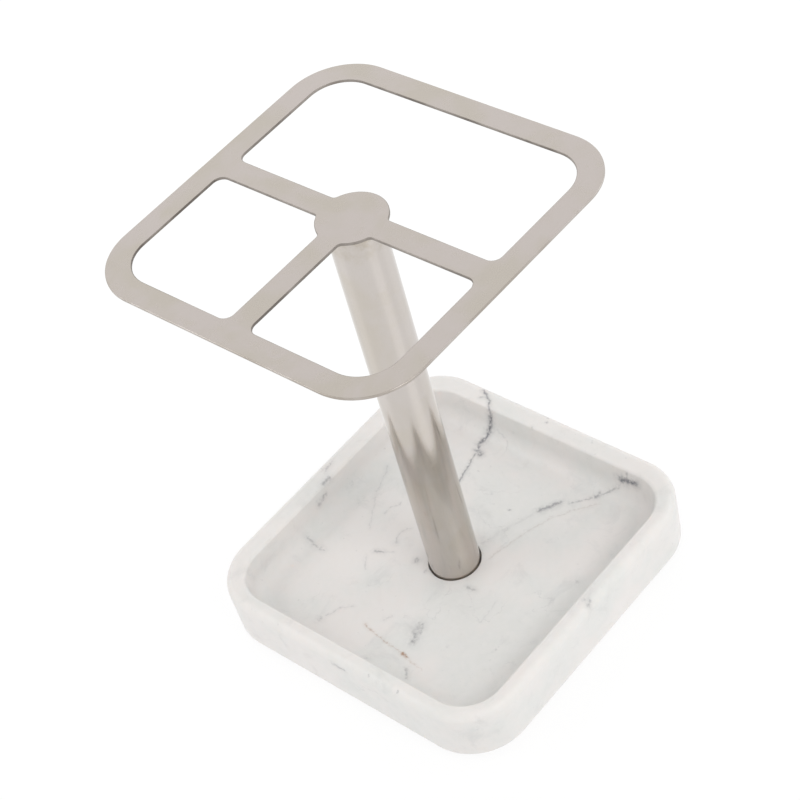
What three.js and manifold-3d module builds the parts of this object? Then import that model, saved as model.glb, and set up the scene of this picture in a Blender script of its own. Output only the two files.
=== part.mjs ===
// Razor stand: a flat steel rack with three openings, on one steel post that is
// bolted down from below through a shallow marble dish.
//
// Millimetres, +Z up. X runs along the rack's crossbar, Y from front to back.
// The two small openings are at the front, the wide one at the back.
// The origin is on the plane that the rubber feet stand on, under the middle of
// the marble block.

import * as THREE from 'three';
import { mergeVertices } from 'three/addons/utils/BufferGeometryUtils.js';
import Module from 'manifold-3d';

const wasm = await Module();
wasm.setup();

// ---- Driving dimensions ----

const FIT_GAP = 0.3;            // clearance round a piece that sits in its neighbour
const REST_GAP = 0.1;           // glue, paint or weld film between faces that meet
const CUT_OVERRUN = 1;          // how far a cutter runs past the face it starts from

const FOOT_RADIUS = 5;
const FOOT_HEIGHT = 1.4;
const FOOT_CHAMFER = 0.3;
const FOOT_INSET = 14;          // from the block's side to a foot's centre

const BLOCK_SIZE = 103.4;
const BLOCK_HEIGHT = 17.8;
const BLOCK_CORNER = 17.2;      // plan radius of the block's corners
const BLOCK_DRAFT = 0.3;        // how far the sides lean in at the bottom
const BLOCK_TOP_ROUND = 2.6;
const BLOCK_BOTTOM_ROUND = 1.4;

const DISH_SIZE = 91.5;         // across the dish's mouth
const DISH_CORNER = 11.6;       // plan radius of the mouth's corners
const DISH_EDGE_ROUND = 0.7;
const DISH_FLOOR = 7.6;         // marble left under the dish
const DISH_COVE = 6.5;          // radius between the dish's wall and floor
const DISH_WALL_LEAN = 0.8;     // how far the wall leans in above the cove

// The dish, the post and the rack share one axis. The block's outside is
// ground separately and sits a millimetre off it.
const AXIS_X = 1.05;
const AXIS_Y = -1.05;

const RECESS_RADIUS = 8;        // seat for the post, sunk in the dish's floor
const RECESS_DEPTH = 2;
const BORE_RADIUS = 2.9;
const COUNTERBORE_RADIUS = 8.5;
const COUNTERBORE_DEPTH = 3.5;

const POST_RADIUS = 7.5;
const POST_WALL = 1.2;
const GASKET_THICKNESS = 0.6;
const GASKET_RADIUS = 7.3;
const GASKET_BORE = 3.2;

const PLUG_LENGTH = 12;
const PLUG_BORE = 2.8;
const PLUG_CHAMFER = 0.5;

const SCREW_RADIUS = 2.5;
const SCREW_LENGTH = 13;
const SCREW_TIP_CHAMFER = 0.6;
const HEAD_RADIUS = 4.9;
const HEAD_HEIGHT = 2.1;
const HEAD_FLAT_RADIUS = 2.7;   // flat face round the socket
const HEAD_CROWN = 0.9;         // height of the head's rounded part
const SOCKET_ACROSS_FLATS = 3;
const SOCKET_DEPTH = 1.4;
const WASHER_RADIUS = 7.4;
const WASHER_BORE = 2.75;
const WASHER_THICKNESS = 1;

const PLATE_WIDTH = 100;
const PLATE_DEPTH = 99.5;
const PLATE_THICKNESS = 0.8;
const RACK_HEIGHT = 140.8;      // from under the block to the plate's top
const PLATE_CORNER = 17.4;
const BAR_WIDTH = 6.9;          // rim, crossbar and stem alike
const OPENING_CORNER = 2.8;
const HUB_RADIUS = 9.6;
const HUB_FILLET = 1.5;

// ---- Worked out from them ----

const BLOCK_Z = FOOT_HEIGHT + REST_GAP;
const FLOOR_Z = BLOCK_Z + DISH_FLOOR;
const RECESS_Z = FLOOR_Z - RECESS_DEPTH;
const SEAT_Z = BLOCK_Z + COUNTERBORE_DEPTH;
const GASKET_Z = RECESS_Z + REST_GAP;
const POST_Z = GASKET_Z + GASKET_THICKNESS + REST_GAP;
const PLATE_TOP = BLOCK_Z + RACK_HEIGHT;
const PLATE_Z = PLATE_TOP - PLATE_THICKNESS;
const POST_TOP = PLATE_Z - REST_GAP;
const WASHER_Z = SEAT_Z - REST_GAP - WASHER_THICKNESS;
const HEAD_TOP = WASHER_Z - REST_GAP;
const POST_BORE = POST_RADIUS - POST_WALL;
const PLUG_RADIUS = POST_BORE - FIT_GAP;

const QUARTER = Math.PI / 2;
const CORNER_STEPS = 10;
const ROUND_STEPS = 6;
const CIRCLE_STEPS = 48;
const HEXAGON = 6;
const MERGE_DISTANCE = 1e-4;    // vertices of one solid this close are one vertex
const SAME_POINT = 1e-3;        // points of one outline this close are one point

// ---- Materials ----

function material(color, roughness, metalness) {
  return new THREE.MeshStandardMaterial({ color, roughness, metalness });
}

const marble = material(0xdad7d2, 0.55, 0);
const satinSteel = material(0xc8c2ba, 0.35, 1);
const zincSteel = material(0xa9abad, 0.4, 1);
const rubber = material(0x2a2a2b, 0.9, 0);

// ---- Helpers ----

function toSolid(geometry) {
  const bare = geometry.clone();
  bare.deleteAttribute('normal');
  bare.deleteAttribute('uv');
  const merged = mergeVertices(bare, MERGE_DISTANCE);
  const vertProperties = new Float32Array(merged.attributes.position.array);
  const triVerts = new Uint32Array(merged.index.array);
  return new wasm.Manifold(new wasm.Mesh({ numProp: 3, vertProperties, triVerts }));
}

function toGeometry(solid) {
  const { vertProperties, triVerts } = solid.getMesh();
  const geometry = new THREE.BufferGeometry();
  geometry.setAttribute('position', new THREE.BufferAttribute(vertProperties, 3));
  geometry.setIndex(new THREE.BufferAttribute(triVerts, 1));
  geometry.computeVertexNormals();
  return geometry;
}

function piece(name, geometry, look) {
  const mesh = new THREE.Mesh(geometry, look);
  mesh.name = name;
  return mesh;
}

// Turned solid about Z from [radius, height] points, listed counter-clockwise
// in the radius-height plane.
function turned(profile, steps = CIRCLE_STEPS) {
  const points = profile.map(([radius, z]) => new THREE.Vector2(radius, z));
  const geometry = new THREE.LatheGeometry(points, steps);
  geometry.rotateX(QUARTER);
  return geometry;
}

function ring(innerRadius, outerRadius, z0, z1, steps = CIRCLE_STEPS) {
  return turned([
    [innerRadius, z0], [outerRadius, z0], [outerRadius, z1], [innerRadius, z1], [innerRadius, z0],
  ], steps);
}

function disc(radius, z0, z1, steps = CIRCLE_STEPS) {
  return turned([[0, z0], [radius, z0], [radius, z1], [0, z1]], steps);
}

// Round in a section as { inset, z } points, from one angle to another.
function roundedEdge(inset, z, radius, startAngle, endAngle, steps) {
  const points = [];
  for (let i = 0; i <= steps; i += 1) {
    const angle = startAngle + (endAngle - startAngle) * i / steps;
    points.push({ inset: inset + radius * Math.cos(angle), z: z + radius * Math.sin(angle) });
  }
  return points;
}

// One horizontal ring of points round a square with rounded corners.
function squareRing(size, corner, centreX, centreY, { inset, z }) {
  const radius = corner - inset;
  const straight = size / 2 - corner;
  const points = [];
  for (let turn = 0; turn < 4; turn += 1) {
    const start = turn * QUARTER;
    const cornerX = centreX + straight * Math.sign(Math.cos(start + QUARTER / 2));
    const cornerY = centreY + straight * Math.sign(Math.sin(start + QUARTER / 2));
    for (let i = 0; i <= CORNER_STEPS; i += 1) {
      const angle = start + QUARTER * i / CORNER_STEPS;
      points.push([cornerX + radius * Math.cos(angle), cornerY + radius * Math.sin(angle), z]);
    }
  }
  return points;
}

// Closed solid through a stack of rings with equal point counts, capped by a
// fan at each end. The first ring is the bottom and the rings run outwards.
function lofted(rings) {
  const count = rings[0].length;
  const positions = rings.flat(2);
  const last = (rings.length - 1) * count;
  const bottom = positions.length / 3;
  positions.push(0, 0, rings[0][0][2]);
  positions.push(AXIS_X, AXIS_Y, rings[rings.length - 1][0][2]);
  const index = [];
  for (let i = 0; i < count; i += 1) {
    const next = (i + 1) % count;
    index.push(bottom, next, i);
    index.push(bottom + 1, last + i, last + next);
    for (let level = 0; level < last; level += count) {
      index.push(level + i, level + next, level + count + next);
      index.push(level + i, level + count + next, level + count + i);
    }
  }
  const geometry = new THREE.BufferGeometry();
  geometry.setAttribute('position', new THREE.Float32BufferAttribute(positions, 3));
  geometry.setIndex(index);
  return geometry;
}

// ---- Marble base ----

// The block's outside, from its bottom edge up to the rim.
function blockRings() {
  const rimZ = BLOCK_Z + BLOCK_HEIGHT;
  const section = [
    ...roundedEdge(BLOCK_DRAFT + BLOCK_BOTTOM_ROUND, BLOCK_Z + BLOCK_BOTTOM_ROUND,
      BLOCK_BOTTOM_ROUND, -QUARTER, -2 * QUARTER, ROUND_STEPS),
    ...roundedEdge(BLOCK_TOP_ROUND, rimZ - BLOCK_TOP_ROUND,
      BLOCK_TOP_ROUND, 2 * QUARTER, QUARTER, ROUND_STEPS),
  ];
  return section.map((point) => squareRing(BLOCK_SIZE, BLOCK_CORNER, 0, 0, point));
}

// The dish, from the rim's inner edge down its wall and cove to the floor.
function dishRings() {
  const rimZ = BLOCK_Z + BLOCK_HEIGHT;
  const section = [
    ...roundedEdge(-DISH_EDGE_ROUND, rimZ - DISH_EDGE_ROUND,
      DISH_EDGE_ROUND, QUARTER, 0, ROUND_STEPS / 2),
    ...roundedEdge(DISH_WALL_LEAN + DISH_COVE, FLOOR_Z + DISH_COVE,
      DISH_COVE, 2 * QUARTER, 3 * QUARTER, ROUND_STEPS + 2),
  ];
  return section.map((point) => squareRing(DISH_SIZE, DISH_CORNER, AXIS_X, AXIS_Y, point));
}

function marbleBase() {
  const block = toSolid(lofted([...blockRings(), ...dishRings()]));
  const holes = [
    disc(RECESS_RADIUS, RECESS_Z, FLOOR_Z + CUT_OVERRUN),
    disc(BORE_RADIUS, BLOCK_Z - CUT_OVERRUN, FLOOR_Z + CUT_OVERRUN),
    disc(COUNTERBORE_RADIUS, BLOCK_Z - CUT_OVERRUN, SEAT_Z),
  ];
  const drilled = holes.reduce((solid, hole) => {
    hole.translate(AXIS_X, AXIS_Y, 0);
    return solid.subtract(toSolid(hole));
  }, block);
  return piece('marble_base', toGeometry(drilled), marble);
}

function rubberFeet() {
  const reach = BLOCK_SIZE / 2 - FOOT_INSET;
  const places = [[-reach, -reach], [reach, -reach], [reach, reach], [-reach, reach]];
  return places.map(([x, y], i) => {
    const geometry = turned([
      [0, 0],
      [FOOT_RADIUS - FOOT_CHAMFER, 0],
      [FOOT_RADIUS, FOOT_CHAMFER],
      [FOOT_RADIUS, FOOT_HEIGHT],
      [0, FOOT_HEIGHT],
    ]);
    const foot = piece(`rubber_foot_${i + 1}`, geometry, rubber);
    foot.position.set(x, y, 0);
    return foot;
  });
}

// ---- Post and what holds it down ----

function post() {
  return piece('post_tube', ring(POST_BORE, POST_RADIUS, POST_Z, POST_TOP), satinSteel);
}

function postGasket() {
  const geometry = ring(GASKET_BORE, GASKET_RADIUS, GASKET_Z, GASKET_Z + GASKET_THICKNESS);
  return piece('post_gasket', geometry, rubber);
}

function threadedPlug() {
  const top = POST_Z + PLUG_LENGTH;
  const geometry = turned([
    [PLUG_BORE, POST_Z],
    [PLUG_RADIUS, POST_Z],
    [PLUG_RADIUS, top - PLUG_CHAMFER],
    [PLUG_RADIUS - PLUG_CHAMFER, top],
    [PLUG_BORE, top],
    [PLUG_BORE, POST_Z],
  ]);
  return piece('threaded_plug', geometry, zincSteel);
}

function flatWasher() {
  const geometry = ring(WASHER_BORE, WASHER_RADIUS, WASHER_Z, WASHER_Z + WASHER_THICKNESS);
  return piece('flat_washer', geometry, zincSteel);
}

// Button-head screw with a hexagon socket, driven upwards from below.
function fixingScrew() {
  const headBottom = HEAD_TOP - HEAD_HEIGHT;
  const tip = HEAD_TOP + SCREW_LENGTH;
  const crown = [];
  for (let i = 0; i <= ROUND_STEPS; i += 1) {
    const angle = QUARTER * i / ROUND_STEPS;
    const radius = HEAD_FLAT_RADIUS + (HEAD_RADIUS - HEAD_FLAT_RADIUS) * Math.sin(angle);
    crown.push([radius, headBottom + HEAD_CROWN * (1 - Math.cos(angle))]);
  }
  const body = toSolid(turned([
    [0, headBottom],
    ...crown,
    [HEAD_RADIUS, HEAD_TOP],
    [SCREW_RADIUS, HEAD_TOP],
    [SCREW_RADIUS, tip - SCREW_TIP_CHAMFER],
    [SCREW_RADIUS - SCREW_TIP_CHAMFER, tip],
    [0, tip],
  ]));
  const socketRadius = SOCKET_ACROSS_FLATS / Math.sqrt(3);
  const socket = toSolid(disc(socketRadius, headBottom - CUT_OVERRUN, headBottom + SOCKET_DEPTH, HEXAGON));
  return piece('fixing_screw', toGeometry(body.subtract(socket)), zincSteel);
}

// ---- Top plate ----

const HALF_BAR = BAR_WIDTH / 2;
const OPENING_X = PLATE_WIDTH / 2 - BAR_WIDTH;
const OPENING_Y = PLATE_DEPTH / 2 - BAR_WIDTH;
const RIM_CORNER = PLATE_CORNER - BAR_WIDTH;

// A fillet between the round hub and a bar touches both. Its centre stands
// FILLET_OUT along the bar and FILLET_UP from the bar's middle line.
const FILLET_UP = HALF_BAR + HUB_FILLET;
const FILLET_ANGLE = Math.asin(FILLET_UP / (HUB_RADIUS + HUB_FILLET));
const FILLET_OUT = (HUB_RADIUS + HUB_FILLET) * Math.cos(FILLET_ANGLE);

// Outline through a list of arcs [x, y, radius, start angle, end angle],
// joined by straight lines. Points that fall on each other merge.
function arcOutline(arcs) {
  const points = [];
  for (const [x, y, radius, start, end] of arcs) {
    for (let i = 0; i <= CORNER_STEPS; i += 1) {
      const angle = start + (end - start) * i / CORNER_STEPS;
      const point = new THREE.Vector2(x + radius * Math.cos(angle), y + radius * Math.sin(angle));
      if (points.length === 0 || point.distanceTo(points[points.length - 1]) > SAME_POINT) {
        points.push(point);
      }
    }
  }
  if (points[0].distanceTo(points[points.length - 1]) < SAME_POINT) {
    points.pop();
  }
  return points;
}

function plateOutline() {
  const x = PLATE_WIDTH / 2 - PLATE_CORNER;
  const y = PLATE_DEPTH / 2 - PLATE_CORNER;
  return arcOutline([
    [x, -y, PLATE_CORNER, -QUARTER, 0],
    [x, y, PLATE_CORNER, 0, QUARTER],
    [-x, y, PLATE_CORNER, QUARTER, 2 * QUARTER],
    [-x, -y, PLATE_CORNER, 2 * QUARTER, 3 * QUARTER],
  ]);
}

// The wide opening at the back. Its front edge is the crossbar, with the hub
// bulging into it.
function backOpening() {
  const smallX = OPENING_X - OPENING_CORNER;
  const smallY = HALF_BAR + OPENING_CORNER;
  const largeX = OPENING_X - RIM_CORNER;
  const largeY = OPENING_Y - RIM_CORNER;
  return arcOutline([
    [smallX, smallY, OPENING_CORNER, -QUARTER, 0],
    [largeX, largeY, RIM_CORNER, 0, QUARTER],
    [-largeX, largeY, RIM_CORNER, QUARTER, 2 * QUARTER],
    [-smallX, smallY, OPENING_CORNER, 2 * QUARTER, 3 * QUARTER],
    [-FILLET_OUT, FILLET_UP, HUB_FILLET, -QUARTER, -FILLET_ANGLE],
    [0, 0, HUB_RADIUS, 2 * QUARTER - FILLET_ANGLE, FILLET_ANGLE],
    [FILLET_OUT, FILLET_UP, HUB_FILLET, 2 * QUARTER + FILLET_ANGLE, 3 * QUARTER],
  ]);
}

// A small opening at the front, on the side of X that side gives as 1 or -1.
// The hub takes a bite out of its inner corner.
function frontOpening(side) {
  const nearBar = HALF_BAR + OPENING_CORNER;
  const points = arcOutline([
    [nearBar, OPENING_CORNER - OPENING_Y, OPENING_CORNER, 2 * QUARTER, 3 * QUARTER],
    [OPENING_X - RIM_CORNER, RIM_CORNER - OPENING_Y, RIM_CORNER, -QUARTER, 0],
    [OPENING_X - OPENING_CORNER, -nearBar, OPENING_CORNER, 0, QUARTER],
    [FILLET_OUT, -FILLET_UP, HUB_FILLET, QUARTER, 2 * QUARTER - FILLET_ANGLE],
    [0, 0, HUB_RADIUS, -FILLET_ANGLE, FILLET_ANGLE - QUARTER],
    [FILLET_UP, -FILLET_OUT, HUB_FILLET, QUARTER + FILLET_ANGLE, 2 * QUARTER],
  ]);
  return points.map(({ x, y }) => new THREE.Vector2(side * x, y));
}

function topPlate() {
  const shape = new THREE.Shape(plateOutline());
  for (const hole of [backOpening(), frontOpening(1), frontOpening(-1)]) {
    shape.holes.push(new THREE.Path(hole));
  }
  const geometry = new THREE.ExtrudeGeometry(shape, { depth: PLATE_THICKNESS, bevelEnabled: false });
  geometry.translate(0, 0, PLATE_Z);
  return piece('top_plate', geometry, satinSteel);
}

// ---- The whole stand ----

const rack = new THREE.Group();
rack.position.set(AXIS_X, AXIS_Y, 0);
rack.add(post(), postGasket(), threadedPlug(), flatWasher(), fixingScrew(), topPlate());

const stand = new THREE.Group();
stand.add(marbleBase(), ...rubberFeet(), rack);

export default stand;
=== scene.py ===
"""Looks for the razor stand: honed marble dish, polished post, satin steel rack.

Metres and watts, unless a comment says otherwise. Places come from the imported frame.
The constants below repeat the part's own radii and the depths that no box in the
frame gives. The dish's mouth is a little rounder than the part's, and the post's
seat a little tighter, as in the photo.
"""

import math

import bmesh
import bpy
from mathutils import Matrix, Vector
from mathutils.geometry import tessellate_polygon


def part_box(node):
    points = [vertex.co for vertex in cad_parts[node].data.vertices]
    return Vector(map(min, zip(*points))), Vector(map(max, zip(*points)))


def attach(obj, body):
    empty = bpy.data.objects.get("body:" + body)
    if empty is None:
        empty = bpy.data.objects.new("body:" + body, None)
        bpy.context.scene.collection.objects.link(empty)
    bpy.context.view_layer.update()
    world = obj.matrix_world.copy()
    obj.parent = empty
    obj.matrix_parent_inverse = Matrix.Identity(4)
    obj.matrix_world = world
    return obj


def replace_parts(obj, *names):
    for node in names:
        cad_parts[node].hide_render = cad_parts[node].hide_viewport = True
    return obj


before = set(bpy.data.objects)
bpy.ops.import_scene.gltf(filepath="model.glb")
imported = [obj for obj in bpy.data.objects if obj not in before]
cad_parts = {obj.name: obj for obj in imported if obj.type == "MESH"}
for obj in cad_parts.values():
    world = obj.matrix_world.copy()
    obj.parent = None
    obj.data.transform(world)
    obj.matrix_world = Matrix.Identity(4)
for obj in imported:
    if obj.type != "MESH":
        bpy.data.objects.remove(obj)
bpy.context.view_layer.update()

MM = 0.001
QUARTER = math.pi / 2

# ---- Where things are ----

BLOCK_LOW, BLOCK_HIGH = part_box("marble_base")
POST_LOW, POST_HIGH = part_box("post_tube")
PLATE_LOW, PLATE_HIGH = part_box("top_plate")
AXIS = (POST_LOW + POST_HIGH) / 2
POST_RADIUS = (POST_HIGH.x - POST_LOW.x) / 2

BLOCK_CORNER = 17.2 * MM
BLOCK_DRAFT = 0.3 * MM
BLOCK_TOP_ROUND = 2.6 * MM
BLOCK_BOTTOM_ROUND = 1.4 * MM
DISH_SIZE = 91.5 * MM
DISH_CORNER = 11.6 * MM
DISH_EDGE_ROUND = 1.1 * MM
DISH_COVE = 6.5 * MM
DISH_WALL_LEAN = 0.8 * MM
FLOOR_Z = BLOCK_LOW.z + 7.6 * MM
RECESS_RADIUS = 7.85 * MM
RECESS_Z = FLOOR_Z - 2 * MM
RECESS_ROUND = 0.25 * MM
BORE_RADIUS = 2.9 * MM
COUNTERBORE_RADIUS = 8.5 * MM
COUNTERBORE_Z = BLOCK_LOW.z + 3.5 * MM

POST_WALL = 1.2 * MM
POST_EDGE = 0.3 * MM                   # round and bevel at the post's foot
WELD_SIZE = 0.9 * MM
WELD_GAP = 0.01 * MM                   # keeps the weld's face off the rack's

PLATE_CORNER = 17.4 * MM
BAR_WIDTH = 6.9 * MM
OPENING_CORNER = 2.8 * MM
HUB_RADIUS = 9.6 * MM
HUB_FILLET = 1.5 * MM
SHEET_EDGE_ROUND = 0.16 * MM

FOOT_HOLE = 0.6 * MM                   # radius of the moulding hole in a foot's middle
FOOT_DIMPLE = 0.25 * MM                # depth of the dimple round that hole
FOOT_DIMPLE_FLAT = 0.4 * MM
FOOT_EDGE_ROUND = 0.5 * MM

# ---- The view ----

VIEW_AZIMUTH = math.radians(52.1)      # 0 looks along +Y
VIEW_ELEVATION = math.radians(44.3)
VIEW_ROLL = math.radians(-16.95)
VIEW_DISTANCE = 0.588
VIEW_HEIGHT = 0.0665                   # height on the post that the view turns about
VIEW_RIGHT = -0.0039                   # how far the view is slid sideways and up
VIEW_UP = 0.0068
LENS = 97.6

scene = bpy.context.scene


def add_camera():
    back = Vector((
        math.sin(VIEW_AZIMUTH) * math.cos(VIEW_ELEVATION),
        -math.cos(VIEW_AZIMUTH) * math.cos(VIEW_ELEVATION),
        math.sin(VIEW_ELEVATION),
    ))
    level_right = Vector((0, 0, 1)).cross(back).normalized()
    level_up = back.cross(level_right)
    turn = Matrix.Rotation(VIEW_ROLL, 3, back)
    right = turn @ level_right
    up = turn @ level_up
    place = Vector((AXIS.x, AXIS.y, VIEW_HEIGHT)) + back * VIEW_DISTANCE
    place += right * VIEW_RIGHT + up * VIEW_UP
    data = bpy.data.cameras.new("camera")
    data.lens = LENS
    data.sensor_width = 36
    data.clip_start = 0.01
    camera = bpy.data.objects.new("camera", data)
    camera.matrix_world = Matrix((
        (right.x, up.x, back.x, place.x),
        (right.y, up.y, back.y, place.y),
        (right.z, up.z, back.z, place.z),
        (0, 0, 0, 1),
    ))
    scene.collection.objects.link(camera)
    scene.camera = camera


# ---- Node helpers ----


def add_node(tree, kind, inputs=None, **settings):
    """Adds a shader node. An input is given as a value, or as a socket to link from."""
    new = tree.nodes.new(kind)
    for key, value in settings.items():
        setattr(new, key, value)
    for key, value in (inputs or {}).items():
        if isinstance(value, bpy.types.NodeSocket):
            tree.links.new(value, new.inputs[key])
        else:
            new.inputs[key].default_value = value
    return new


def math_node(tree, operation, first, second=0.0, clamp=False):
    inputs = {0: first, 1: second}
    return add_node(tree, "ShaderNodeMath", inputs, operation=operation, use_clamp=clamp).outputs[0]


def vector_node(tree, operation, first, second=(0, 0, 0)):
    inputs = {0: first, 1: second}
    return add_node(tree, "ShaderNodeVectorMath", inputs, operation=operation).outputs[0]


def smooth_step(tree, value, low, high, from_value=0.0, to_value=1.0):
    inputs = {"Value": value, "From Min": low, "From Max": high, "To Min": from_value, "To Max": to_value}
    return add_node(tree, "ShaderNodeMapRange", inputs, interpolation_type="SMOOTHSTEP").outputs[0]


def noise(tree, vector, scale, detail=3.0, roughness=0.5, distortion=0.0):
    inputs = {
        "Vector": vector, "Scale": scale, "Detail": detail,
        "Roughness": roughness, "Distortion": distortion,
    }
    return add_node(tree, "ShaderNodeTexNoise", inputs)


def mix_colour(tree, factor, first, second):
    mixer = add_node(tree, "ShaderNodeMix", {"Factor": factor}, data_type="RGBA")
    for socket, value in ((mixer.inputs[6], first), (mixer.inputs[7], second)):
        if isinstance(value, bpy.types.NodeSocket):
            tree.links.new(value, socket)
        else:
            socket.default_value = (*value, 1)
    return mixer.outputs[2]


def new_material(name):
    """A material with its Principled shader, and object coordinates in millimetres."""
    material = bpy.data.materials.new(name)
    material.use_nodes = True
    tree = material.node_tree
    shader = tree.nodes["Principled BSDF"]
    coordinates = add_node(tree, "ShaderNodeTexCoord").outputs["Object"]
    scaled = add_node(tree, "ShaderNodeVectorMath", {0: coordinates, "Scale": 1000}, operation="SCALE")
    return material, tree, shader, scaled.outputs[0]


def set_bump(tree, shader, height, distance, strength=1.0):
    inputs = {"Height": height, "Distance": distance, "Strength": strength}
    bump = add_node(tree, "ShaderNodeBump", inputs)
    tree.links.new(bump.outputs[0], shader.inputs["Normal"])


# ---- Marble ----

MARBLE_WARM = (0.700, 0.675, 0.657)
MARBLE_COOL = (0.655, 0.655, 0.638)
MARBLE_PALE = (0.715, 0.701, 0.689)
MARBLE_SHADE = (0.40, 0.40, 0.405)
MARBLE_THREAD = (0.43, 0.39, 0.36)
MARBLE_RUST = (0.33, 0.19, 0.11)
MARBLE_VEIN = (0.17, 0.17, 0.19)
MARBLE_IOR = 1.48
GLOW_WEIGHT = 0.4                      # how much light travels inside the stone
GLOW_REACH = 0.003
GLOW_COLOURS = (1.0, 0.9, 0.8)
CORE_SHARE = 0.7                       # of a vein's strength; its halo has the rest

# Veins in millimetres, from the post's axis and the ground: points, core width,
# halo width and strength. A vein given by (x, y) runs straight down through the
# stone. One given by (x, y, z) is a mark in one place.
GREY_VEINS = [
    ([(-27.6, 51), (-24.3, 49.3), (-21.4, 46.2), (-20.6, 45)], 0.55, 1.9, 0.8),
    ([(-26.5, 48), (-24.3, 49.3)], 0.4, 1.3, 0.5),
    ([(-20.6, 45), (-21.3, 42), (-22, 39.5)], 0.95, 2.8, 1.0),
    ([(-22, 39.5), (-21.1, 36.9)], 0.7, 2.0, 0.85),
    ([(-21.1, 36.9), (-19, 36.2)], 1.2, 2.8, 1.0),
    ([(-20.6, 35.5), (-20.2, 33), (-18.5, 27.5), (-17.6, 24)], 0.5, 1.5, 0.8),
    ([(28, 44.9, 15), (33, 45, 16)], 1.7, 3.6, 1.0),
    ([(29.8, 45.6, 18.4), (30.3, 45, 16)], 0.7, 1.7, 0.55),
    ([(27.4, 44.5), (25.5, 42.7), (22.8, 41)], 0.45, 1.4, 0.5),
    ([(22.8, 41), (22, 39.5)], 0.8, 1.9, 0.62),
    ([(21, 38.5), (19.2, 36.8), (16.6, 34)], 0.45, 1.3, 0.5),
    ([(14, 32.5), (12.1, 29.6), (10.1, 26.8)], 0.95, 2.6, 0.72),
    ([(9.5, 24.7), (6.4, 18), (3.5, 9)], 0.9, 3.2, 0.14),
    ([(2.5, 23.1)], 0.5, 1.0, 0.6),
    ([(-4.7, 45.9, 19)], 0.8, 1.5, 0.5),
    ([(-2.9, 51.5, 18.9)], 0.6, 1.2, 0.6),
    ([(-1.9, 49.8, 19.3)], 0.6, 1.1, 0.5),
    ([(-31, 41)], 1.0, 4.5, 0.16),
    ([(-50.1, 5.2, 19.3), (-48.8, 1, 19.3)], 0.6, 2.4, 0.4),
    ([(-46.2, -0.4, 19.1), (-46.4, -3.2, 19.1)], 1.0, 2.6, 0.6),
    ([(-45.2, -4, 16.4), (-45, -7.8, 15.6)], 0.9, 2.2, 0.55),
    ([(-42.7, -17.3), (-36.7, -17.2)], 0.6, 2.6, 0.42),
    ([(-41, 17.9), (-37.5, 8.3), (-33.1, 0.9), (-30, -3.7)], 0.35, 1.4, 0.2),
    ([(-28.3, 8.3)], 0.7, 1.2, 0.55),
    ([(-28.3, 8.3), (-29.8, 5.4), (-29.9, 3.2)], 0.35, 1.3, 0.25),
    ([(-19.1, 2.6), (-20.8, -0.6), (-19.6, -3.8)], 0.35, 1.4, 0.3),
    ([(-19.6, -3.8)], 0.8, 1.9, 0.35),
    ([(-22.9, -9.7), (-20.5, -8.8)], 0.6, 2.0, 0.6),
    ([(-20.5, -8.8), (-17.6, -7.1)], 0.35, 1.4, 0.22),
    ([(-9.8, -6.2)], 1.0, 2.6, 0.75),
    ([(-4.6, -8)], 0.7, 1.4, 0.4),
    ([(-24, -12.5), (-20.8, -16.3)], 0.35, 1.4, 0.25),
    ([(9.9, -6.3), (12.3, -5.9)], 0.6, 2.0, 0.5),
    ([(6.3, -23.7), (7.5, -27), (8.6, -29.7)], 1.7, 4.2, 0.4),
    ([(7, -23.2), (8.6, -26.4)], 0.6, 1.4, 0.5),
    ([(7.4, -27), (8.5, -29.7)], 0.9, 1.8, 0.62),
    ([(-20.5, -37.4)], 1.1, 3.2, 0.45),
    ([(-19.6, -35.7), (-18.2, -31.9), (-14.8, -28.6)], 0.3, 1.3, 0.3),
    ([(-3.8, -28), (-2.7, -25.7)], 0.4, 1.5, 0.25),
    ([(13, -38), (15.2, -40.6)], 0.7, 2.0, 0.42),
    ([(1, -41.3)], 0.8, 2.6, 0.4),
    ([(-1.8, -50.6, 16.2), (2.7, -50.6, 16)], 0.7, 1.8, 0.5),
    ([(22.4, -49.5, 18.8)], 0.5, 0.9, 0.6),
    ([(11.6, -49.7, 18.7)], 0.45, 0.8, 0.4),
    ([(30.8, -19.5)], 0.5, 0.9, 0.5),
    ([(18.4, -25.7)], 0.5, 1.2, 0.3),
    ([(20.3, -6.3), (21.1, -14.1)], 0.4, 1.5, 0.14),
    ([(49.8, 0.6, 18.8), (49.2, 2, 19)], 0.9, 2.0, 0.6),
    ([(48, 1.5, 19.3)], 0.6, 1.4, 0.4),
    ([(36.1, 11.3)], 1.0, 3.4, 0.3),
]
RUST_VEINS = [
    ([(-7.7, -31.9), (-5, -32.8)], 0.5, 1.2, 0.55),
    ([(-5, -32.8), (2, -33.6), (8, -34.3)], 0.25, 0.9, 0.45),
    ([(8.6, -34.4), (10.5, -34.9)], 0.7, 1.3, 1.0),
    ([(10.7, -35), (16.9, -36)], 0.25, 0.9, 0.25),
]
THREAD_VEINS = [
    ([(8.5, 5), (11.9, 17.7), (15.2, 27), (24.3, 38.3)], 0.3, 1.2, 0.42),
]


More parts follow.
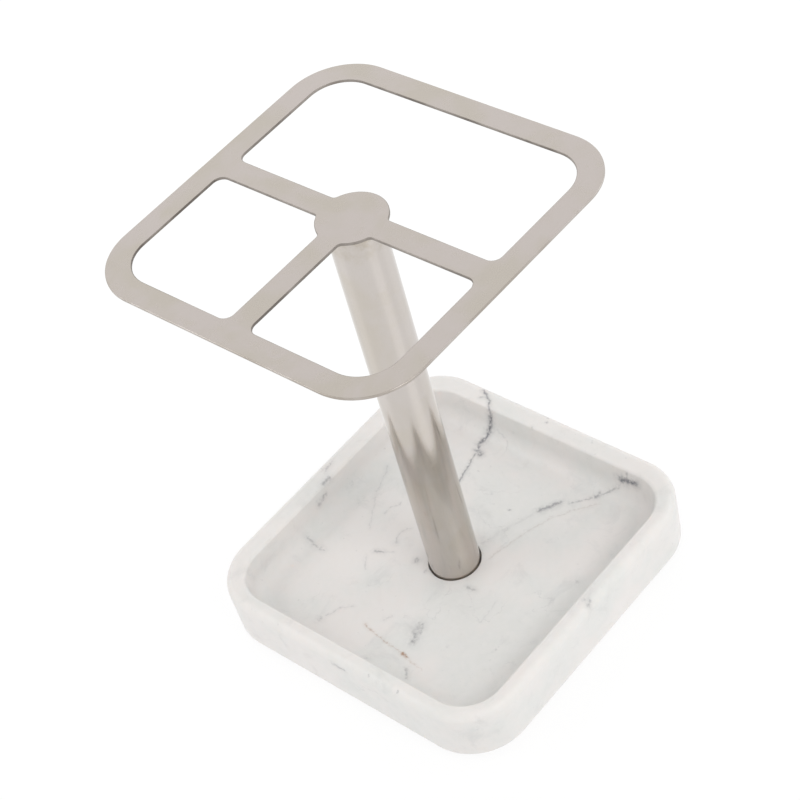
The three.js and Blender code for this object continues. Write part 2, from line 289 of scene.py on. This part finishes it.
def line_distance_group():
    """Node group: distance from a point to the line between two ends."""
    group = bpy.data.node_groups.new("line distance", "ShaderNodeTree")
    for name in ("Point", "Start", "End"):
        group.interface.new_socket(name, in_out="INPUT", socket_type="NodeSocketVector")
    group.interface.new_socket("Distance", in_out="OUTPUT", socket_type="NodeSocketFloat")
    given = group.nodes.new("NodeGroupInput").outputs
    span = vector_node(group, "SUBTRACT", given["End"], given["Start"])
    reach = vector_node(group, "SUBTRACT", given["Point"], given["Start"])
    along = add_node(group, "ShaderNodeVectorMath", {0: reach, 1: span}, operation="DOT_PRODUCT")
    whole = add_node(group, "ShaderNodeVectorMath", {0: span, 1: span}, operation="DOT_PRODUCT")
    share = math_node(group, "DIVIDE", along.outputs["Value"], whole.outputs["Value"], clamp=True)
    step = add_node(group, "ShaderNodeVectorMath", {0: span, "Scale": share}, operation="SCALE")
    rest = vector_node(group, "SUBTRACT", reach, step.outputs[0])
    length = add_node(group, "ShaderNodeVectorMath", {0: rest}, operation="LENGTH")
    result = group.nodes.new("NodeGroupOutput")
    group.links.new(length.outputs["Value"], result.inputs["Distance"])
    return group


def after(tree, earlier, place):
    """The same place, but worked out after an earlier result.

    A shader holds a limited number of values at once. The earlier result is
    added at a millionth of its size, which only settles the order of the work.
    """
    inputs = {0: earlier, 1: (1e-6, 1e-6, 1e-6), 2: place}
    return add_node(tree, "ShaderNodeVectorMath", inputs, operation="MULTIPLY_ADD").outputs[0]


def vein_strength(tree, group, place, flat_place, veins):
    """How much vein there is at a place: a dark core in a soft halo, the strongest vein winning."""
    total = None
    for points, core, halo, strength in veins:
        through = len(points[0]) == 2
        here = flat_place if through else place
        if total is not None:
            here = after(tree, total, here)
        nearest = None
        for start, end in zip(points, points[1:] or points):
            line = add_node(tree, "ShaderNodeGroup", node_tree=group)
            tree.links.new(here, line.inputs["Point"])
            line.inputs["Start"].default_value = (*start, 0) if through else start
            line.inputs["End"].default_value = (*end, 0) if through else end
            distance = line.outputs["Distance"]
            nearest = distance if nearest is None else math_node(tree, "MINIMUM", nearest, distance)
        dark = smooth_step(tree, nearest, 0.0, core, strength * CORE_SHARE, 0.0)
        soft = smooth_step(tree, nearest, 0.0, halo, strength * (1 - CORE_SHARE), 0.0)
        vein = math_node(tree, "ADD", dark, soft)
        total = vein if total is None else math_node(tree, "MAXIMUM", total, vein)
    return total


def wander(tree, place, scale, detail, reach):
    """Moves a place about by noise, at most half the reach each way."""
    random = noise(tree, place, scale, detail, 0.65).outputs["Color"]
    push = vector_node(tree, "SUBTRACT", random, (0.5, 0.5, 0.5))
    push = add_node(tree, "ShaderNodeVectorMath", {0: push, "Scale": reach}, operation="SCALE").outputs[0]
    return vector_node(tree, "ADD", place, push)


def vein_layers(tree, jagged, broken):
    """The placed veins: grey, rust and thread, each broken up along its run."""
    flat = vector_node(tree, "MULTIPLY", jagged, (1, 1, 0))
    group = line_distance_group()
    layers = []
    for veins in (GREY_VEINS, RUST_VEINS, THREAD_VEINS):
        layers.append(math_node(tree, "MULTIPLY", vein_strength(tree, group, jagged, flat, veins), broken))
    return layers


def faint_marks(tree, centred, jagged, broken):
    """Faint hairlines, specks and smudges through the whole block."""
    ridge = noise(tree, jagged, 0.03, 4, 0.55, 0.5).outputs["Fac"]
    ridge = math_node(tree, "ABSOLUTE", math_node(tree, "SUBTRACT", ridge, 0.5))
    hairline = smooth_step(tree, ridge, 0.0, 0.006, 1.0, 0.0)
    where = smooth_step(tree, noise(tree, centred, 0.055, 2).outputs["Fac"], 0.5, 0.66, 0.0, 0.3)
    hairline = math_node(tree, "MULTIPLY", math_node(tree, "MULTIPLY", hairline, where), broken)
    specks = noise(tree, centred, 0.5, 2, 0.7).outputs["Fac"]
    specks = smooth_step(tree, specks, 0.68, 0.8, 0.0, 0.3)
    smudge = noise(tree, centred, 0.1, 5, 0.7, 0.6).outputs["Fac"]
    smudge = smooth_step(tree, smudge, 0.52, 0.75, 0.0, 0.22)
    return smudge, hairline, specks


def marble_colour(tree, centred):
    """Warm and cool mottling, the faint marks over it, and the placed veins over both."""
    jagged = wander(tree, wander(tree, centred, 0.3, 2, 1.6), 0.9, 5, 1.7)
    broken = smooth_step(tree, noise(tree, centred, 0.9, 3, 0.65).outputs["Fac"], 0.32, 0.6, 0.3, 1.0)
    grey, rust, thread = vein_layers(tree, jagged, broken)
    marks = faint_marks(tree, centred, jagged, broken)
    cool = smooth_step(tree, noise(tree, centred, 0.045, 4, 0.6).outputs["Fac"], 0.4, 0.62)
    fine = smooth_step(tree, noise(tree, centred, 0.35, 4, 0.65).outputs["Fac"], 0.35, 0.7)
    colour = mix_colour(tree, cool, MARBLE_WARM, MARBLE_COOL)
    colour = mix_colour(tree, math_node(tree, "MULTIPLY", fine, 0.35), colour, MARBLE_PALE)
    for mark in marks:
        colour = mix_colour(tree, mark, colour, MARBLE_SHADE)
    colour = mix_colour(tree, thread, colour, MARBLE_THREAD)
    colour = mix_colour(tree, rust, colour, MARBLE_RUST)
    return mix_colour(tree, grey, colour, MARBLE_VEIN)


def marble_material():
    material, tree, shader, place = new_material("honed_marble")
    centred = vector_node(tree, "SUBTRACT", place, (AXIS.x / MM, AXIS.y / MM, 0))
    tree.links.new(marble_colour(tree, centred), shader.inputs["Base Color"])
    grain = noise(tree, centred, 4.0, 4, 0.6).outputs["Fac"]
    rough = smooth_step(tree, noise(tree, centred, 0.3, 3).outputs["Fac"], 0.3, 0.7, 0.34, 0.46)
    tree.links.new(rough, shader.inputs["Roughness"])
    shader.inputs["IOR"].default_value = MARBLE_IOR
    shader.inputs["Subsurface Weight"].default_value = GLOW_WEIGHT
    shader.inputs["Subsurface Radius"].default_value = GLOW_COLOURS
    shader.inputs["Subsurface Scale"].default_value = GLOW_REACH
    set_bump(tree, shader, grain, 0.00002, 0.5)
    return material


# ---- Steel, zinc and rubber ----

# For each metal: colour, colour of its stains, and roughness.
RACK_METAL = (0.598, 0.548, 0.520), (0.570, 0.526, 0.472), 0.25
# The edges round the openings are darker than the outer edge, with darker patches.
RIM_EDGE_METAL = (0.52, 0.48, 0.45), (0.40, 0.36, 0.32), 0.32
OPENING_EDGE_METAL = (0.32, 0.29, 0.265), (0.17, 0.15, 0.135), 0.36
POST_METAL = (0.575, 0.535, 0.505), (0.555, 0.512, 0.462), 0.12
ZINC_METAL = (0.55, 0.56, 0.58), (0.45, 0.46, 0.46), 0.3
STAIN_GLOSS_LOSS = 0.08
LINE_GLOSS = 0.015
ALL_WAYS = (1, 1, 1)                   # polishing lines run along the axis with the small number
ALONG_Y = (1, 0.08, 1)
ALONG_Z = (1, 1, 0.04)
FINE_GRAIN = 0.000002
COARSE_GRAIN = 0.00001

# Painted shade: the post is darker in patches just under the rack.
RACK_SHADE_COLOUR = (0.43, 0.38, 0.30)
RACK_SHADE_STRENGTH = 0.7
RACK_SHADE_HEIGHT = 11                  # of the painted shade band under the rack, in millimetres

RUBBER = (0.022, 0.022, 0.023)
RUBBER_DUST = (0.045, 0.044, 0.043)


def steel_layers(name, metal, stretch, grain=FINE_GRAIN):
    """Steel with broad faint stains, small spots, fine polishing lines and uneven gloss."""
    colour, stain, roughness = metal
    material, tree, shader, place = new_material(name)
    stretched = vector_node(tree, "MULTIPLY", place, stretch)
    lines = noise(tree, stretched, 3.0, 4, 0.65).outputs["Fac"]
    broad = smooth_step(tree, noise(tree, place, 0.05, 3, 0.6, 0.3).outputs["Fac"], 0.4, 0.62)
    smudge = smooth_step(tree, noise(tree, place, 0.2, 4, 0.6, 0.4).outputs["Fac"], 0.5, 0.72, 0.0, 0.6)
    spots = smooth_step(tree, noise(tree, place, 0.45, 3, 0.7).outputs["Fac"], 0.66, 0.8, 0.0, 0.8)
    marks = math_node(tree, "MAXIMUM", math_node(tree, "MAXIMUM", broad, smudge), spots)
    tone = mix_colour(tree, marks, colour, stain)
    streak = smooth_step(tree, lines, 0.3, 0.7, 0.992, 1.007)
    tone = add_node(tree, "ShaderNodeVectorMath", {0: tone, "Scale": streak}, operation="SCALE").outputs[0]
    tree.links.new(tone, shader.inputs["Base Color"])
    dull = math_node(tree, "MAXIMUM", smudge, spots)
    gloss = smooth_step(tree, dull, 0.0, 1.0, roughness, roughness + STAIN_GLOSS_LOSS)
    gloss = math_node(tree, "ADD", gloss, smooth_step(tree, lines, 0.3, 0.7, -LINE_GLOSS, LINE_GLOSS))
    tree.links.new(gloss, shader.inputs["Roughness"])
    shader.inputs["Metallic"].default_value = 1
    set_bump(tree, shader, lines, grain)
    return material, tree, shader, place, tone


def steel_material(name, metal, stretch=ALL_WAYS, grain=FINE_GRAIN):
    return steel_layers(name, metal, stretch, grain)[0]


def post_material():
    """The post's polished steel, with painted shade in a patchy darker band just under the rack."""
    material, tree, shader, place, tone = steel_layers("polished_steel", POST_METAL, ALONG_Z)
    height = add_node(tree, "ShaderNodeSeparateXYZ", {0: place}).outputs["Z"]
    weld = POST_HIGH.z / MM
    # Painted shade, strongest right under the rack.
    under_rack = smooth_step(tree, height, weld - RACK_SHADE_HEIGHT, weld)
    patchy = smooth_step(tree, noise(tree, place, 0.35, 4, 0.65).outputs["Fac"], 0.3, 0.75)
    rack_shade = math_node(tree, "MULTIPLY", under_rack, patchy)
    rack_shade = math_node(tree, "MULTIPLY", rack_shade, RACK_SHADE_STRENGTH)
    tone = mix_colour(tree, rack_shade, tone, RACK_SHADE_COLOUR)
    tree.links.new(tone, shader.inputs["Base Color"])
    return material


def rubber_material():
    material, tree, shader, place = new_material("moulded_rubber")
    grain = noise(tree, place, 4.0, 5, 0.65).outputs["Fac"]
    dust = smooth_step(tree, noise(tree, place, 0.6, 3).outputs["Fac"], 0.45, 0.7)
    tree.links.new(mix_colour(tree, dust, RUBBER, RUBBER_DUST), shader.inputs["Base Color"])
    tree.links.new(smooth_step(tree, grain, 0.3, 0.7, 0.72, 0.9), shader.inputs["Roughness"])
    set_bump(tree, shader, grain, 0.00004)
    return material


# ---- Mesh helpers ----


def mesh_object(name, vertices, faces, materials, face_slots=None, flat_faces=()):
    mesh = bpy.data.meshes.new(name)
    mesh.from_pydata(vertices, [], faces)
    for material in materials:
        mesh.materials.append(material)
    flat = set(flat_faces)
    for index, polygon in enumerate(mesh.polygons):
        polygon.use_smooth = index not in flat
        if face_slots:
            polygon.material_index = face_slots[index]
    bm = bmesh.new()
    bm.from_mesh(mesh)
    bmesh.ops.recalc_face_normals(bm, faces=bm.faces)
    bm.to_mesh(mesh)
    bm.free()
    piece = bpy.data.objects.new(name, mesh)
    scene.collection.objects.link(piece)
    return piece


def closed_loft(name, rings, materials, sharp_angle=35):
    """A closed ring-shaped solid: each ring joins the next, and the last joins the first."""
    count = len(rings[0])
    vertices = [point for ring in rings for point in ring]
    faces = []
    for level in range(len(rings)):
        above = (level + 1) % len(rings)
        for i in range(count):
            j = (i + 1) % count
            faces.append((level * count + i, level * count + j, above * count + j, above * count + i))
    piece = mesh_object(name, vertices, faces, materials)
    piece.data.set_sharp_from_angle(angle=math.radians(sharp_angle))
    return piece


def arc(centre_a, centre_b, radius, start, end, steps):
    """Points (a, b) of an arc in a section plane."""
    points = []
    for i in range(steps + 1):
        angle = start + (end - start) * i / steps
        points.append((centre_a + radius * math.cos(angle), centre_b + radius * math.sin(angle)))
    return points


def turned_piece(name, centre, section, materials, steps=128, sharp_angle=35):
    """Turned solid about a vertical axis from a closed section of (radius, z) points."""
    rings = []
    for radius, z in section:
        ring = []
        for i in range(steps):
            angle = 2 * math.pi * i / steps
            ring.append((centre.x + radius * math.cos(angle), centre.y + radius * math.sin(angle), z))
        rings.append(ring)
    return closed_loft(name, rings, materials, sharp_angle)


# ---- Marble base ----

CORNER_STEPS = 20
SIDE_STEPS = 16


def square_ring(size, corner, centre_x, centre_y, inset, z):
    """Points round a square with rounded corners, evenly spread along the sides too."""
    radius = corner - inset
    straight = size / 2 - corner
    points = []
    for turn in range(4):
        start = turn * QUARTER
        sign_x = math.copysign(1, math.cos(start + QUARTER / 2))
        sign_y = math.copysign(1, math.sin(start + QUARTER / 2))
        corner_x = centre_x + straight * sign_x
        corner_y = centre_y + straight * sign_y
        for i in range(CORNER_STEPS + 1):
            angle = start + QUARTER * i / CORNER_STEPS
            points.append((corner_x + radius * math.cos(angle), corner_y + radius * math.sin(angle), z))
        run = (-math.sin(start + QUARTER), math.cos(start + QUARTER))
        last = points[-1]
        for i in range(1, SIDE_STEPS):
            along = 2 * straight * i / SIDE_STEPS
            points.append((last[0] + run[0] * along, last[1] + run[1] * along, z))
    return points


def circle_ring(radius, z, like):
    """A ring about the post, with one point in line with each point of another ring."""
    points = []
    for x, y, _ in like:
        angle = math.atan2(y - AXIS.y, x - AXIS.x)
        points.append((AXIS.x + radius * math.cos(angle), AXIS.y + radius * math.sin(angle), z))
    return points


def between(first, second, steps):
    """Rings spaced evenly between two rings, without the two themselves."""
    rings = []
    for step in range(1, steps):
        share = step / steps
        rings.append([tuple(a + (b - a) * share for a, b in zip(p, q)) for p, q in zip(first, second)])
    return rings


def marble_base(material):
    size = BLOCK_HIGH.x - BLOCK_LOW.x
    centre = (BLOCK_LOW + BLOCK_HIGH) / 2
    rim = BLOCK_HIGH.z
    outside = [
        *arc(BLOCK_DRAFT + BLOCK_BOTTOM_ROUND, BLOCK_LOW.z + BLOCK_BOTTOM_ROUND,
             BLOCK_BOTTOM_ROUND, -QUARTER, -2 * QUARTER, 8),
        *arc(BLOCK_TOP_ROUND, rim - BLOCK_TOP_ROUND, BLOCK_TOP_ROUND, 2 * QUARTER, QUARTER, 12),
    ]
    inside = [
        *arc(-DISH_EDGE_ROUND, rim - DISH_EDGE_ROUND, DISH_EDGE_ROUND, QUARTER, 0, 6),
        *arc(DISH_WALL_LEAN + DISH_COVE, FLOOR_Z + DISH_COVE, DISH_COVE, 2 * QUARTER, 3 * QUARTER, 14),
    ]
    rings = [square_ring(size, BLOCK_CORNER, centre.x, centre.y, inset, z) for inset, z in outside]
    rings += [square_ring(DISH_SIZE, DISH_CORNER, AXIS.x, AXIS.y, inset, z) for inset, z in inside]
    floor_edge = rings[-1]
    holes = [
        *arc(RECESS_RADIUS + RECESS_ROUND, FLOOR_Z - RECESS_ROUND, RECESS_ROUND, QUARTER, 2 * QUARTER, 4),
        (RECESS_RADIUS, RECESS_Z),
        (BORE_RADIUS, RECESS_Z),
        (BORE_RADIUS, COUNTERBORE_Z),
        (COUNTERBORE_RADIUS, COUNTERBORE_Z),
        (COUNTERBORE_RADIUS, BLOCK_LOW.z + RECESS_ROUND),
        (COUNTERBORE_RADIUS + RECESS_ROUND, BLOCK_LOW.z),
    ]
    hole_rings = [circle_ring(radius, z, floor_edge) for radius, z in holes]
    rings += between(floor_edge, hole_rings[0], 6) + hole_rings
    rings += between(hole_rings[-1], rings[0], 6)
    piece = closed_loft("marble_dish", rings, [material])
    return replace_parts(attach(piece, "root"), "marble_base")


# ---- Post ----


def post(material):
    """Turned tube with a weld fillet. The ring near each end keeps the long wall's shading upright."""
    inner = POST_RADIUS - POST_WALL
    foot = POST_LOW.z
    top = POST_HIGH.z
    weld_top = PLATE_LOW.z - WELD_GAP
    section = [
        (inner, foot + POST_EDGE),
        (inner + POST_EDGE, foot),
        *arc(POST_RADIUS - POST_EDGE, foot + POST_EDGE, POST_EDGE, -QUARTER, 0, 4),
        (POST_RADIUS, foot + 2 * POST_EDGE),
        (POST_RADIUS, top - 1.5 * WELD_SIZE),
        *arc(POST_RADIUS + WELD_SIZE, top - WELD_SIZE, WELD_SIZE, 2 * QUARTER, QUARTER, 8),
        (POST_RADIUS + WELD_SIZE, weld_top),
        (inner, weld_top),
    ]
    piece = turned_piece("steel_post", AXIS, section, [material])
    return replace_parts(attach(piece, "root"), "post_tube")


# ---- Rack ----

HALF_BAR = BAR_WIDTH / 2
FILLET_UP = HALF_BAR + HUB_FILLET
FILLET_ANGLE = math.asin(FILLET_UP / (HUB_RADIUS + HUB_FILLET))
FILLET_OUT = (HUB_RADIUS + HUB_FILLET) * math.cos(FILLET_ANGLE)
ARC_STEPS = 24
FACE_SLOT, RIM_EDGE_SLOT, OPENING_EDGE_SLOT = range(3)
MERGE_DISTANCE = 1e-6


def outline(arcs, inset, mirror=1):
    """Points through arcs (x, y, radius, start, end), each moved into the steel by inset.

    Going round with the steel on the left, an arc that turns left loses the
    inset from its radius, and one that turns right gains it.
    """
    points = []
    for x, y, radius, start, end in arcs:
        grown = radius - inset if end > start else radius + inset
        for px, py in arc(x, y, grown, start, end, ARC_STEPS):
            points.append((mirror * px + AXIS.x, py + AXIS.y))
    return points


def rack_loops():
    """The rack's outer outline and its three openings, as arc lists with mirror and inset signs."""
    opening_x = (PLATE_HIGH.x - PLATE_LOW.x) / 2 - BAR_WIDTH
    opening_y = (PLATE_HIGH.y - PLATE_LOW.y) / 2 - BAR_WIDTH
    corner_x = opening_x + BAR_WIDTH - PLATE_CORNER
    corner_y = opening_y + BAR_WIDTH - PLATE_CORNER
    rim_corner = PLATE_CORNER - BAR_WIDTH
    small_x = opening_x - OPENING_CORNER
    near_bar = HALF_BAR + OPENING_CORNER
    outer = [
        (corner_x, -corner_y, PLATE_CORNER, -QUARTER, 0),
        (corner_x, corner_y, PLATE_CORNER, 0, QUARTER),
        (-corner_x, corner_y, PLATE_CORNER, QUARTER, 2 * QUARTER),
        (-corner_x, -corner_y, PLATE_CORNER, 2 * QUARTER, 3 * QUARTER),
    ]
    back = [
        (small_x, near_bar, OPENING_CORNER, -QUARTER, 0),
        (corner_x, corner_y, rim_corner, 0, QUARTER),
        (-corner_x, corner_y, rim_corner, QUARTER, 2 * QUARTER),
        (-small_x, near_bar, OPENING_CORNER, 2 * QUARTER, 3 * QUARTER),
        (-FILLET_OUT, FILLET_UP, HUB_FILLET, -QUARTER, -FILLET_ANGLE),
        (0, 0, HUB_RADIUS, 2 * QUARTER - FILLET_ANGLE, FILLET_ANGLE),
        (FILLET_OUT, FILLET_UP, HUB_FILLET, 2 * QUARTER + FILLET_ANGLE, 3 * QUARTER),
    ]
    front = [
        (near_bar, OPENING_CORNER - opening_y, OPENING_CORNER, 2 * QUARTER, 3 * QUARTER),
        (corner_x, -corner_y, rim_corner, -QUARTER, 0),
        (small_x, -near_bar, OPENING_CORNER, 0, QUARTER),
        (FILLET_OUT, -FILLET_UP, HUB_FILLET, QUARTER, 2 * QUARTER - FILLET_ANGLE),
        (0, 0, HUB_RADIUS, -FILLET_ANGLE, FILLET_ANGLE - QUARTER),
        (FILLET_UP, -FILLET_OUT, HUB_FILLET, QUARTER + FILLET_ANGLE, 2 * QUARTER),
    ]
    return [(outer, 1, 1), (back, 1, -1), (front, 1, -1), (front, -1, -1)]


def rack_walls():
    """The sheet's rounded edge round each outline, with the loops of points where its flat faces start."""
    low, high = PLATE_LOW.z, PLATE_HIGH.z
    edge = SHEET_EDGE_ROUND
    section = arc(edge, low + edge, edge, -QUARTER, -2 * QUARTER, 4)
    section += arc(edge, high - edge, edge, 2 * QUARTER, QUARTER, 4)
    vertices, faces, slots, bottoms, tops = [], [], [], [], []
    for arcs, mirror, inset_sign in rack_loops():
        first = len(vertices)
        rings = [[(x, y, z) for x, y in outline(arcs, inset_sign * inset, mirror)] for inset, z in section]
        count = len(rings[0])
        for ring in rings:
            vertices += ring
        for level in range(len(rings) - 1):
            base = first + level * count
            for i in range(count):
                j = (i + 1) % count
                faces.append((base + i, base + j, base + count + j, base + count + i))
                slots.append(RIM_EDGE_SLOT if inset_sign > 0 else OPENING_EDGE_SLOT)
        last = first + (len(rings) - 1) * count
        bottoms.append(list(range(first, first + count)))
        tops.append(list(range(last, last + count)))
    return vertices, faces, slots, (bottoms, tops)


def rack(materials):
    """One flat sheet: rounded edges round each outline, and flat faces above and below."""
    vertices, faces, slots, sides = rack_walls()
    flats = []
    for loops in sides:
        order = [index for loop in loops for index in loop]
        polygons = [[Vector(vertices[index]) for index in loop] for loop in loops]
        for triangle in tessellate_polygon(polygons):
            flats.append(len(faces))
            faces.append(tuple(order[corner] for corner in triangle))
            slots.append(FACE_SLOT)
    piece = mesh_object("steel_rack", vertices, faces, materials, slots, flats)
    bm = bmesh.new()
    bm.from_mesh(piece.data)
    bmesh.ops.remove_doubles(bm, verts=bm.verts, dist=MERGE_DISTANCE)
    bmesh.ops.recalc_face_normals(bm, faces=bm.faces)
    bm.to_mesh(piece.data)
    bm.free()
    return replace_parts(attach(piece, "root"), "top_plate")


# ---- Feet ----


def rubber_foot(index, material):
    low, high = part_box(f"rubber_foot_{index}")
    centre = (low + high) / 2
    radius = (high.x - low.x) / 2
    dimple_side = FOOT_HOLE + FOOT_DIMPLE_FLAT
    dimple_top = low.z + FOOT_DIMPLE
    section = [
        (FOOT_HOLE, dimple_top),
        (dimple_side, dimple_top),
        *arc(dimple_side + 2 * FOOT_DIMPLE, dimple_top, FOOT_DIMPLE, 2 * QUARTER, 3 * QUARTER, 3),
        *arc(radius - FOOT_EDGE_ROUND, low.z + FOOT_EDGE_ROUND, FOOT_EDGE_ROUND, -QUARTER, 0, 5),
        (radius, high.z),
        (FOOT_HOLE, high.z),
    ]
    piece = turned_piece(f"foot_{index}", centre, section, [material], 64)
    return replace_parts(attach(piece, "root"), f"rubber_foot_{index}")


# ---- Stage ----

WORLD_SIDES = 1.12
WORLD_OVERHEAD = 0.88
WORLD_COLOUR = (1, 0.995, 0.99, 1)
FLOOR_REACH = 4.0
FLOOR_COLOUR = (0.1, 0.1, 0.1, 1)
FLOOR_GLOW = 0.86                      # the floor is lit from within, so it shows no shadow
FLOOR_ROUGHNESS = 0.3
SOFTBOX_DISTANCE = 1.4
SOFTBOX_WIDTH = 0.65
# Bearing (0 is +X) and elevation in degrees, height of the box, and energy.
SOFTBOXES = {
    "softbox_right": (-3, 44, 0.4, 3.8),
    "softbox_left": (-137, 44, 0.4, 2.4),
    "softbox_back": (60, 28, 0.8, 1.7),
}


def floor():
    reach = FLOOR_REACH
    corners = [(-reach, -reach, 0), (reach, -reach, 0), (reach, reach, 0), (-reach, reach, 0)]
    material, _, shader, _ = new_material("pale_floor")
    shader.inputs["Base Color"].default_value = FLOOR_COLOUR
    shader.inputs["Emission Color"].default_value = (1, 1, 1, 1)
    shader.inputs["Emission Strength"].default_value = FLOOR_GLOW
    shader.inputs["Roughness"].default_value = FLOOR_ROUGHNESS
    piece = mesh_object("floor", corners, [(0, 1, 2, 3)], [material])


def studio_world():
    """White surroundings, a little brighter round the sides than overhead."""
    world = bpy.data.worlds.new("studio")
    world.use_nodes = True
    tree = world.node_tree
    background = tree.nodes["Background"]
    direction = add_node(tree, "ShaderNodeTexCoord").outputs["Generated"]
    rise = add_node(tree, "ShaderNodeSeparateXYZ", {0: direction}).outputs["Z"]
    strength = smooth_step(tree, rise, 0.0, 1.0, WORLD_SIDES, WORLD_OVERHEAD)
    tree.links.new(strength, background.inputs["Strength"])
    background.inputs["Color"].default_value = WORLD_COLOUR
    scene.world = world


def softbox(name, bearing, elevation, height, energy):
    """A wide soft light aimed at the stand."""
    bearing = math.radians(bearing)
    elevation = math.radians(elevation)
    data = bpy.data.lights.new(name, "AREA")
    data.shape = "RECTANGLE"
    data.size = SOFTBOX_WIDTH
    data.size_y = height
    data.energy = energy
    direction = Vector((
        math.cos(elevation) * math.cos(bearing),
        math.cos(elevation) * math.sin(bearing),
        math.sin(elevation),
    ))
    light = bpy.data.objects.new(name, data)
    light.location = direction * SOFTBOX_DISTANCE
    light.rotation_euler = direction.to_track_quat("Z", "Y").to_euler()
    light.visible_camera = False
    scene.collection.objects.link(light)


# ---- The whole scene ----

add_camera()
scene.view_settings.view_transform = "Standard"
scene.view_settings.look = "None"

marble = marble_material()
rack_steel = [
    steel_material("satin_steel", RACK_METAL, ALONG_Y),
    steel_material("sheet_edge", RIM_EDGE_METAL),
    steel_material("opening_edge", OPENING_EDGE_METAL),
]
post_steel = post_material()
zinc = steel_material("zinc_plate", ZINC_METAL, grain=COARSE_GRAIN)
rubber = rubber_material()

marble_base(marble)
post(post_steel)
rack(rack_steel)
for index in range(1, 5):
    rubber_foot(index, rubber)
for name, material in (
    ("post_gasket", rubber), ("threaded_plug", zinc), ("flat_washer", zinc), ("fixing_screw", zinc),
):
    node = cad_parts[name]
    node.data.materials.clear()
    node.data.materials.append(material)
floor()
studio_world()
for name, (bearing, elevation, height, energy) in SOFTBOXES.items():
    softbox(name, bearing, elevation, height, energy)
